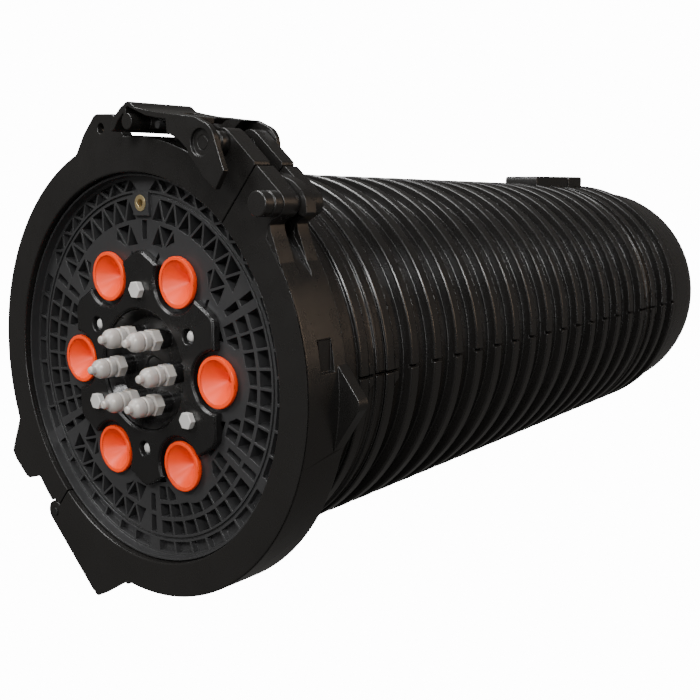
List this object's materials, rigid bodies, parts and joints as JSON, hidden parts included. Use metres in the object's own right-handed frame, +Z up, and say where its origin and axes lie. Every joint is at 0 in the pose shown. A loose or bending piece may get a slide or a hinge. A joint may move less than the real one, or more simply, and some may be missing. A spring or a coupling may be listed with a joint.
{
  "type": "dome splice closure",
  "caption": "Ribbed dome splice closure with a hinged ring clamp, an over-centre latch and a cable-port base; trays inside.",
  "frame": {"origin": "on the closure's axis, half way along the plain collar between the clamp and the first rib, where a mounting strap holds it", "axes": "+Y along the axis towards the dome's closed end; +Z up, through the threaded insert and the dome's top block; +X to the right seen from the base"},
  "size_m": [0.3165, 0.7191, 0.3373],
  "materials": {
    "dome_plastic": "satin black moulding",
    "clamp_plastic": "satin black moulding",
    "base_plastic": "satin dark grey moulding",
    "plate_plastic": "satin black moulding",
    "orange_elastomer": "soft satin orange",
    "fitting_plastic": "slightly translucent off-white",
    "plated_steel": "bright zinc plating",
    "dark_steel": "blackened steel",
    "brass": "satin",
    "seal_rubber": "matt black",
    "gel": "soft blue-grey",
    "organizer_metal": "satin",
    "inner_plastic": "satin dark grey moulding",
    "tray_plastic": "satin light grey moulding",
    "strap_fabric": "woven black webbing"
  },
  "bodies": {
    "closure": {"dome": "dome_plastic", "base": "base_plastic", "pressure_plate": "plate_plastic", "hub_plate": "plate_plastic", "port_funnels": "orange_elastomer", "plate_bolts": "plated_steel", "plate_screws": "plated_steel", "fitting_nuts": "fitting_plastic", "fitting_bodies": "fitting_plastic", "threaded_insert": "brass", "dome_seal": "seal_rubber", "gel_block": "gel", "rear_plate": "plate_plastic", "tie_nuts": "plated_steel", "organizer_rails": "organizer_metal", "slack_basket": "inner_plastic", "tray_carrier": "inner_plastic", "tray_1": "tray_plastic", "tray_2": "tray_plastic", "tray_3": "tray_plastic", "tray_4": "tray_plastic", "tray_5": "tray_plastic", "tray_6": "tray_plastic", "tray_pins": "plated_steel", "tray_strap": "strap_fabric", "clamp_half_a": "clamp_plastic", "hinge_pin": "dark_steel"},
    "clamp_half_b": {"clamp_half_b": "clamp_plastic", "catch_pin": "clamp_plastic"},
    "latch_lever": {"latch_lever": "clamp_plastic", "lever_pivots": "clamp_plastic", "link_pin": "dark_steel"},
    "draw_link": {"draw_link": "clamp_plastic"}
  },
  "joints": [
    {"name": "latch_lever", "type": "hinge", "parent": "closure", "child": "latch_lever", "pos_m": [0.08451, -0.05375, 0.14284], "axis": [0, 1, 0], "range_deg": [0, 90]},
    {"name": "draw_link", "type": "hinge", "parent": "latch_lever", "child": "draw_link", "pos_m": [0.04483, -0.03575, 0.15411], "axis": [0, 1, 0], "range_deg": [-144, 0]},
    {"name": "clamp_half_b", "type": "hinge", "parent": "closure", "child": "clamp_half_b", "pos_m": [-0.09898, -0.03625, -0.11589], "axis": [0, 1, 0], "range_deg": [0, 7.2]}
  ],
  "couplings": [
    {"joint": "draw_link", "follows": "latch_lever", "ratio": -1.6},
    {"joint": "clamp_half_b", "follows": "latch_lever", "ratio": 0.08}
  ]
}
